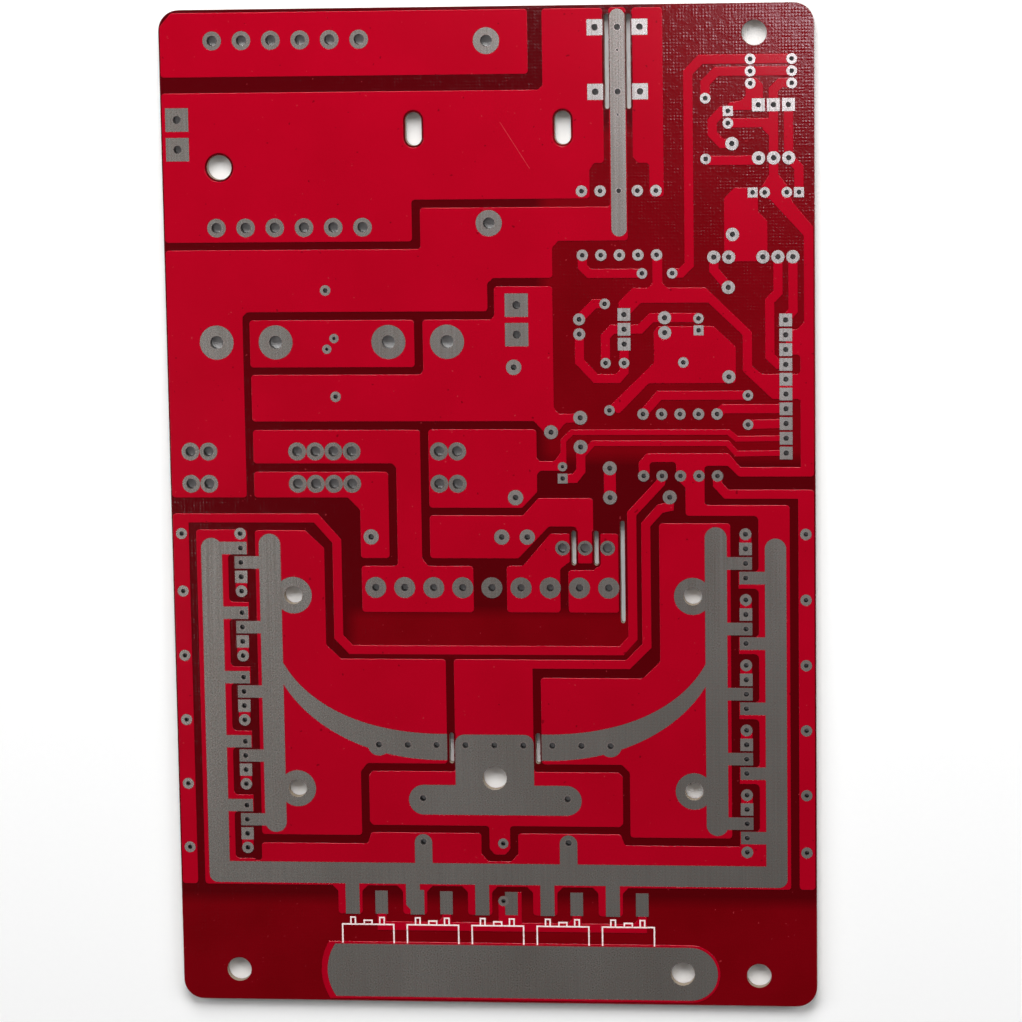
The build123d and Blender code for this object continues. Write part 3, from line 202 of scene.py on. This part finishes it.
class Material:
    """A node material with one shader and short ways to add nodes to it."""

    def __init__(self, name):
        self.made = bpy.data.materials.new(name)
        self.made.use_nodes = True
        self.tree = self.made.node_tree
        self.shader = self.tree.nodes["Principled BSDF"]
        self.place = self.add("ShaderNodeTexCoord").outputs["Object"]

    def add(self, kind, **values):
        """A node with its properties set."""
        node = self.tree.nodes.new(kind)
        for name, value in values.items():
            setattr(node, name, value)
        return node

    def feed(self, node, name, source):
        """Joins a source socket to an input, or sets the input's constant."""
        if isinstance(source, bpy.types.NodeSocket):
            self.tree.links.new(source, node.inputs[name])
        else:
            node.inputs[name].default_value = source

    def axes(self, source):
        """The three numbers of a vector."""
        node = self.add("ShaderNodeSeparateXYZ")
        self.feed(node, 0, source)
        return node.outputs

    def spread(self, scales):
        """The place on the object, stretched by a scale along each axis."""
        node = self.add("ShaderNodeMapping")
        self.feed(node, "Vector", self.place)
        self.feed(node, "Scale", scales)
        return node.outputs["Vector"]

    def noise(self, waves, detail=3.0):
        """Noise from 0 to 1, with its waves per metre for all axes or for each."""
        node = self.add("ShaderNodeTexNoise")
        self.feed(node, "Vector", self.spread(waves if isinstance(waves, tuple) else (waves, waves, waves)))
        self.feed(node, "Scale", 1.0)
        self.feed(node, "Detail", detail)
        self.feed(node, "Roughness", NOISE_ROUGHNESS)
        return node.outputs["Fac"]

    def ramp(self, source, low, high, start=0.0, end=1.0):
        """A source mapped from one range onto another, without going past its ends."""
        node = self.add("ShaderNodeMapRange")
        self.feed(node, "Value", source)
        self.feed(node, "From Min", low)
        self.feed(node, "From Max", high)
        self.feed(node, "To Min", start)
        self.feed(node, "To Max", end)
        return node.outputs["Result"]

    def math(self, operation, a, b=0.0):
        """One sum of two values."""
        node = self.add("ShaderNodeMath", operation=operation)
        self.feed(node, 0, a)
        self.feed(node, 1, b)
        return node.outputs[0]

    def mix(self, share, a, b):
        """Two colours mixed by a share."""
        node = self.add("ShaderNodeMix", data_type="RGBA")
        self.feed(node, MIX_SHARE, share)
        self.feed(node, MIX_FIRST, a if isinstance(a, bpy.types.NodeSocket) else (*a, 1.0))
        self.feed(node, MIX_SECOND, b if isinstance(b, bpy.types.NodeSocket) else (*b, 1.0))
        return node.outputs[MIX_RESULT]

    def high(self, noise, share):
        """A share that grows with the high parts of a noise."""
        return self.ramp(noise, *HIGH_RANGE, 0.0, share)

    def low(self, noise, share):
        """A share that grows with the low parts of a noise."""
        return self.ramp(noise, *LOW_RANGE, 0.0, share)

    def weave(self, pitch):
        """Height of a plain glass weave, from 0 to 1."""
        turn = pi / pitch
        waves = self.axes(self.spread((turn, turn, turn)))
        across = self.math("ABSOLUTE", self.math("SINE", waves["X"]))
        along = self.math("ABSOLUTE", self.math("SINE", waves["Y"]))
        return self.math("MULTIPLY", across, along)

    def field(self, shares, blur):
        """1 inside a box on the board and 0 outside it, with a blurred border."""
        left, low = on_board(*shares[:2])
        right, high = on_board(*shares[2:])
        place = self.axes(self.place)
        across = self.math("MULTIPLY", self.ramp(place["X"], left - blur, left + blur),
                           self.ramp(place["X"], right - blur, right + blur, 1.0, 0.0))
        along = self.math("MULTIPLY", self.ramp(place["Y"], low - blur, low + blur),
                          self.ramp(place["Y"], high - blur, high + blur, 1.0, 0.0))
        return self.math("MULTIPLY", across, along)

    def fields(self, boxes, blur):
        """1 inside any of some boxes on the board and 0 outside them."""
        inside = 0.0
        for shares in boxes:
            inside = self.math("MAXIMUM", inside, self.field(shares, blur))
        return inside

    def line(self, start, end, width):
        """1 on a straight line between two places on the board, fading to 0 at its sides."""
        run = Vector(end) - Vector(start)
        node = self.add("ShaderNodeMapping", vector_type="TEXTURE")
        self.feed(node, "Vector", self.place)
        self.feed(node, "Location", (*start, 0.0))
        self.feed(node, "Rotation", (0.0, 0.0, atan2(run.y, run.x)))
        place = self.axes(node.outputs["Vector"])
        side = self.ramp(self.math("ABSOLUTE", place["Y"]), 0.0, width / 2, 1.0, 0.0)
        ends = self.math("MULTIPLY", self.ramp(place["X"], 0.0, width),
                         self.ramp(place["X"], run.length - width, run.length, 1.0, 0.0))
        return self.math("MULTIPLY", side, ends)

    def walls(self):
        """1 on upright faces and 0 on flat ones."""
        facing = self.axes(self.add("ShaderNodeNewGeometry").outputs["True Normal"])["Z"]
        return self.ramp(self.math("ABSOLUTE", facing), *UPRIGHT_RANGE, 1.0, 0.0)

    def soft_edges(self, radius):
        """The surface normal with edges rounded by a radius."""
        node = self.add("ShaderNodeBevel", samples=EDGE_SAMPLES)
        self.feed(node, "Radius", radius)
        return node.outputs["Normal"]

    def rims(self, radius):
        """1 along the edges of flat faces, falling to 0 within a radius of them."""
        node = self.add("ShaderNodeVectorMath", operation="DOT_PRODUCT")
        self.feed(node, 0, self.soft_edges(radius))
        self.feed(node, 1, self.add("ShaderNodeNewGeometry").outputs["True Normal"])
        return self.ramp(node.outputs["Value"], *EDGE_RANGE)

    def bump(self, height, depth, strength, normal=None):
        """A normal bumped by a height from 0 to 1 over a depth."""
        node = self.add("ShaderNodeBump")
        self.feed(node, "Height", height)
        self.feed(node, "Distance", depth)
        self.feed(node, "Strength", strength)
        if normal is not None:
            self.feed(node, "Normal", normal)
        return node.outputs["Normal"]

    def finish(self, **values):
        """Sets or joins the shader's inputs, named by their words in small letters."""
        sockets = {socket.name.lower().replace(" ", "_"): socket.name for socket in self.shader.inputs}
        for name, value in values.items():
            self.feed(self.shader, sockets[name], value)
        return self.made


def coated_foil():
    """Glossy red coat over copper, a little uneven, with rounded edges, a scratch, dents and dust."""
    m = Material("red_coat_on_copper")
    cloud = m.ramp(m.noise(COAT_CLOUD_WAVES), *COAT_CLOUD_RANGE)
    grain = m.noise(COAT_GRAIN_WAVES, detail=4.0)
    dust = m.ramp(m.noise(DUST_WAVES, detail=1.0), *COAT_DUST_RANGE)
    dents = m.ramp(m.noise(DENT_WAVES, detail=1.0), *DENT_RANGE)
    ends = [on_board(*share) for share in SCRATCH_SHARES]
    scratch = m.math("MULTIPLY", m.line(*ends, SCRATCH_WIDTH), m.ramp(grain, *SCRATCH_RANGE))
    tone = m.mix(cloud, COAT_RED, COAT_DEEP)
    tone = m.mix(m.ramp(grain, *COAT_GRAIN_RANGE), tone, COAT_DEEP)
    tone = m.mix(dents, tone, COAT_DENT)
    tone = m.mix(m.math("MAXIMUM", dust, scratch), tone, COAT_WORN)
    surface = m.bump(grain, COAT_GRAIN_DEPTH, strength=0.4, normal=m.soft_edges(COAT_ROUNDING))
    return m.finish(base_color=tone, metallic=0.3, roughness=0.5, specular_ior_level=0.0, normal=surface,
                    coat_weight=1.0, coat_roughness=0.11, coat_normal=surface)


def film(name, wide_shares=None):
    """Dark red film on laminate, with painted shade outside its wide fields, and the glass weave as a fine
    relief.
    """
    m = Material(name)
    cloud = m.ramp(m.noise(FILM_CLOUD_WAVES), *FILM_CLOUD_RANGE)
    dust = m.ramp(m.noise(DUST_WAVES, detail=1.0), *FILM_DUST_RANGE)
    tone = m.mix(cloud, FILM_RED, FILM_DEEP)
    # Painted shade: the film outside its wide fields is mixed toward a darker red
    if wide_shares is not None:
        tone = m.mix(m.fields(wide_shares, FIELD_BLUR), FILM_SHADED, tone)
    tone = m.mix(dust, tone, COAT_WORN)
    patches = m.ramp(m.noise(WEAVE_PATCH_WAVES, detail=1.0), *WEAVE_PATCH_RANGE)
    weave = m.math("MULTIPLY", m.weave(WEAVE_PITCH), patches)
    grain = m.math("MULTIPLY", m.noise(FILM_GRAIN_WAVES, detail=2.0), FILM_GRAIN_SHARE)
    surface = m.bump(m.math("ADD", weave, grain), FILM_RELIEF, strength=0.6)
    return m.finish(base_color=tone, roughness=0.12, normal=surface)


def tin(name, light, dull, painted_sheen_shares=None):
    """Dull tin with streaks, fine mottled grain, painted pale highlights along its edges and painted shade
    inside its holes, and, where a box is given, a painted white sheen on the lands in it.
    """
    m = Material(name)
    cloud = m.ramp(m.noise(TIN_CLOUD_WAVES), *TIN_CLOUD_RANGE)
    streak = m.noise(STREAK_WAVES, detail=1.0)
    grain = m.noise(TIN_GRAIN_WAVES, detail=2.0)
    tint = m.noise(TINT_WAVES, detail=1.0)
    weave = m.weave(WEAVE_PITCH)
    place = m.axes(m.place)
    tone = m.mix(cloud, light, dull)
    # Painted sheen: lands inside one box are mixed toward white, as a painted reflection of the light above
    if painted_sheen_shares is not None:
        tone = m.mix(m.field(painted_sheen_shares, LAND_BLUR), tone, LAND_PAINTED_SHEEN)

    brushed_ends = [on_board(0.0, share)[1] for share in BRUSHED_SHARES]
    brushed = m.ramp(place["Y"], *brushed_ends, *BRUSHED_STRENGTHS)
    tone = m.mix(m.math("MULTIPLY", m.high(streak, STREAK_DARK_SHARE), brushed), tone, TIN_DARK)
    tone = m.mix(m.math("MULTIPLY", m.low(streak, STREAK_PALE_SHARE), brushed), tone, TIN_PALE)
    tone = m.mix(m.ramp(weave, *TIN_WEAVE_RANGE), tone, TIN_PALE)
    tone = m.mix(m.high(grain, TIN_GRAIN_SHARE), tone, TIN_DARK)
    tone = m.mix(m.low(grain, TIN_GRAIN_SHARE), tone, TIN_PALE)
    tone = m.mix(m.high(tint, TINT_SHARE), tone, TIN_WARM)
    tone = m.mix(m.low(tint, TINT_SHARE), tone, TIN_COOL)
    # Painted highlight: a pale rim along the edges of the tin's flat faces
    tone = m.mix(m.math("MULTIPLY", m.rims(PAINTED_HIGHLIGHT_RIM_WIDTH), PAINTED_HIGHLIGHT_RIM_SHARE), tone, TIN_RIM_PAINTED_HIGHLIGHT)

    # Painted shade: upright walls below the laminate's face grow darker deeper into the holes
    face = max(corner[2] for corner in nodes["laminate"].bound_box)
    barrel_shade = m.ramp(place["Z"], face - BARREL_SHADE_DEPTH, face, *BARREL_SHADE_SHARES)
    tone = m.mix(m.math("MULTIPLY", m.walls(), barrel_shade), tone, BARREL_PAINTED_SHADE)
    rough = m.math("ADD", m.ramp(grain, *TIN_ROUGH_RANGE), m.ramp(streak, *STREAK_ROUGH_RANGE))
    relief = m.math("ADD", m.math("ADD", grain, streak), m.math("MULTIPLY", weave, TIN_WEAVE_SHARE))
    surface = m.bump(relief, TIN_RELIEF, strength=0.4)
    return m.finish(base_color=tone, metallic=0.85, roughness=rough, normal=surface)


def laminate():
    """Sawn glass-epoxy edges and drilled walls, with layers of glass."""
    m = Material("glass_epoxy")
    layers = m.noise(LAYER_WAVES, detail=2.0)
    tone = m.mix(m.ramp(layers, *LAYER_RANGE), LAMINATE_PALE, LAMINATE_DARK)
    return m.finish(base_color=tone, roughness=0.7, normal=m.bump(layers, SAW_MARKS, strength=0.6))


def ink():
    """White screen print, thin in places."""
    m = Material("print")
    thin = m.ramp(m.noise(INK_WAVES), *INK_RANGE)
    return m.finish(base_color=m.mix(thin, INK_WHITE, INK_WORN), roughness=0.6)


def floor_paper():
    """Plain pale paper."""
    m = Material("pale_paper")
    fibre = m.noise(FIBRE_WAVES, detail=4.0)
    return m.finish(base_color=m.mix(fibre, FLOOR_WHITE, FLOOR_GREY), roughness=0.9)


def finish_of(name):
    """The finish that a node's name calls for."""
    if name == "laminate" or name.endswith("film"):
        return name
    if name in BARS:
        return "bars"
    if name.endswith(LAND_ENDINGS):
        return "lands"
    return "ink" if name == "package_legend" else "coated_foil"


def lay_floor():
    """A plain pale floor, just under the board."""
    bpy.ops.mesh.primitive_plane_add(size=FLOOR_SIZE, location=(0, 0, -FLOOR_DROP))
    floor = bpy.context.object
    floor.name = "floor"
    floor.data.materials.append(floor_paper())


def panel(name, place, size, power, tint=WHITE):
    """A soft square light that faces the middle of the board."""
    light = bpy.data.lights.new(name, "AREA")
    light.shape = "SQUARE"
    light.size = size
    light.energy = power
    light.color = tint
    piece = bpy.data.objects.new(name, light)
    bpy.context.scene.collection.objects.link(piece)
    piece.location = place
    piece.rotation_mode = "QUATERNION"
    piece.rotation_quaternion = (-Vector(place)).to_track_quat("-Z", "Y")


def glow_sky():
    """A faint even light from all round."""
    world = bpy.data.worlds.new("studio")
    bpy.context.scene.world = world
    world.use_nodes = True
    sky = world.node_tree.nodes["Background"]
    sky.inputs["Color"].default_value = (*WHITE, 1.0)
    sky.inputs["Strength"].default_value = SKY_STRENGTH


def place_camera():
    """A camera at the photograph's viewing angle, with the board's top edge upward in its picture."""
    lens = bpy.data.cameras.new("camera")
    lens.lens = CAMERA_LENS
    lens.sensor_width = CAMERA_SENSOR
    lens.clip_start = CAMERA_NEAR
    camera = bpy.data.objects.new("camera", lens)
    bpy.context.scene.collection.objects.link(camera)
    camera.location = CAMERA_PLACE
    behind = (Vector(CAMERA_PLACE) - Vector(CAMERA_TARGET)).normalized()
    right = Vector((0, 1, 0)).cross(behind).normalized()
    look = Matrix((right, behind.cross(right), behind)).transposed().to_quaternion()
    camera.rotation_mode = "QUATERNION"
    camera.rotation_quaternion = look @ Quaternion((0, 0, 1), CAMERA_ROLL)
    bpy.context.scene.camera = camera


finishes = {
    "laminate": laminate(),
    "top_film": film("dark_film_on_weave", WIDE_FIELD_SHARES),
    "rear_film": film("plain_film_on_weave"),
    "bars": tin("tinned_copper", TIN_LIGHT, TIN_DULL),
    "lands": tin("tinned_lands", LAND_LIGHT, LAND_DULL, PAINTED_SHEEN_LAND_SHARES),
    "ink": ink(),
    "coated_foil": coated_foil(),
}
for name, piece in nodes.items():
    kind = finish_of(name)
    piece.data.materials.clear()
    piece.data.materials.append(finishes[kind])

lay_floor()
panel("left_light", LEFT_PLACE, SIDE_SIZE, LEFT_POWER)
panel("right_light", RIGHT_PLACE, SIDE_SIZE, RIGHT_POWER)
panel("upper_light", UPPER_PLACE, SIDE_SIZE, UPPER_POWER)
panel("lower_light", LOWER_PLACE, SIDE_SIZE, LOWER_POWER)
panel("gloss_light", GLOSS_PLACE, GLOSS_SIZE, GLOSS_POWER, GLOSS_TINT)
panel("top_light", TOP_PLACE, TOP_SIZE, TOP_POWER)
panel("window_light", WINDOW_PLACE, WINDOW_SIZE, WINDOW_POWER)
glow_sky()
place_camera()
bpy.context.scene.view_settings.view_transform = "Standard"
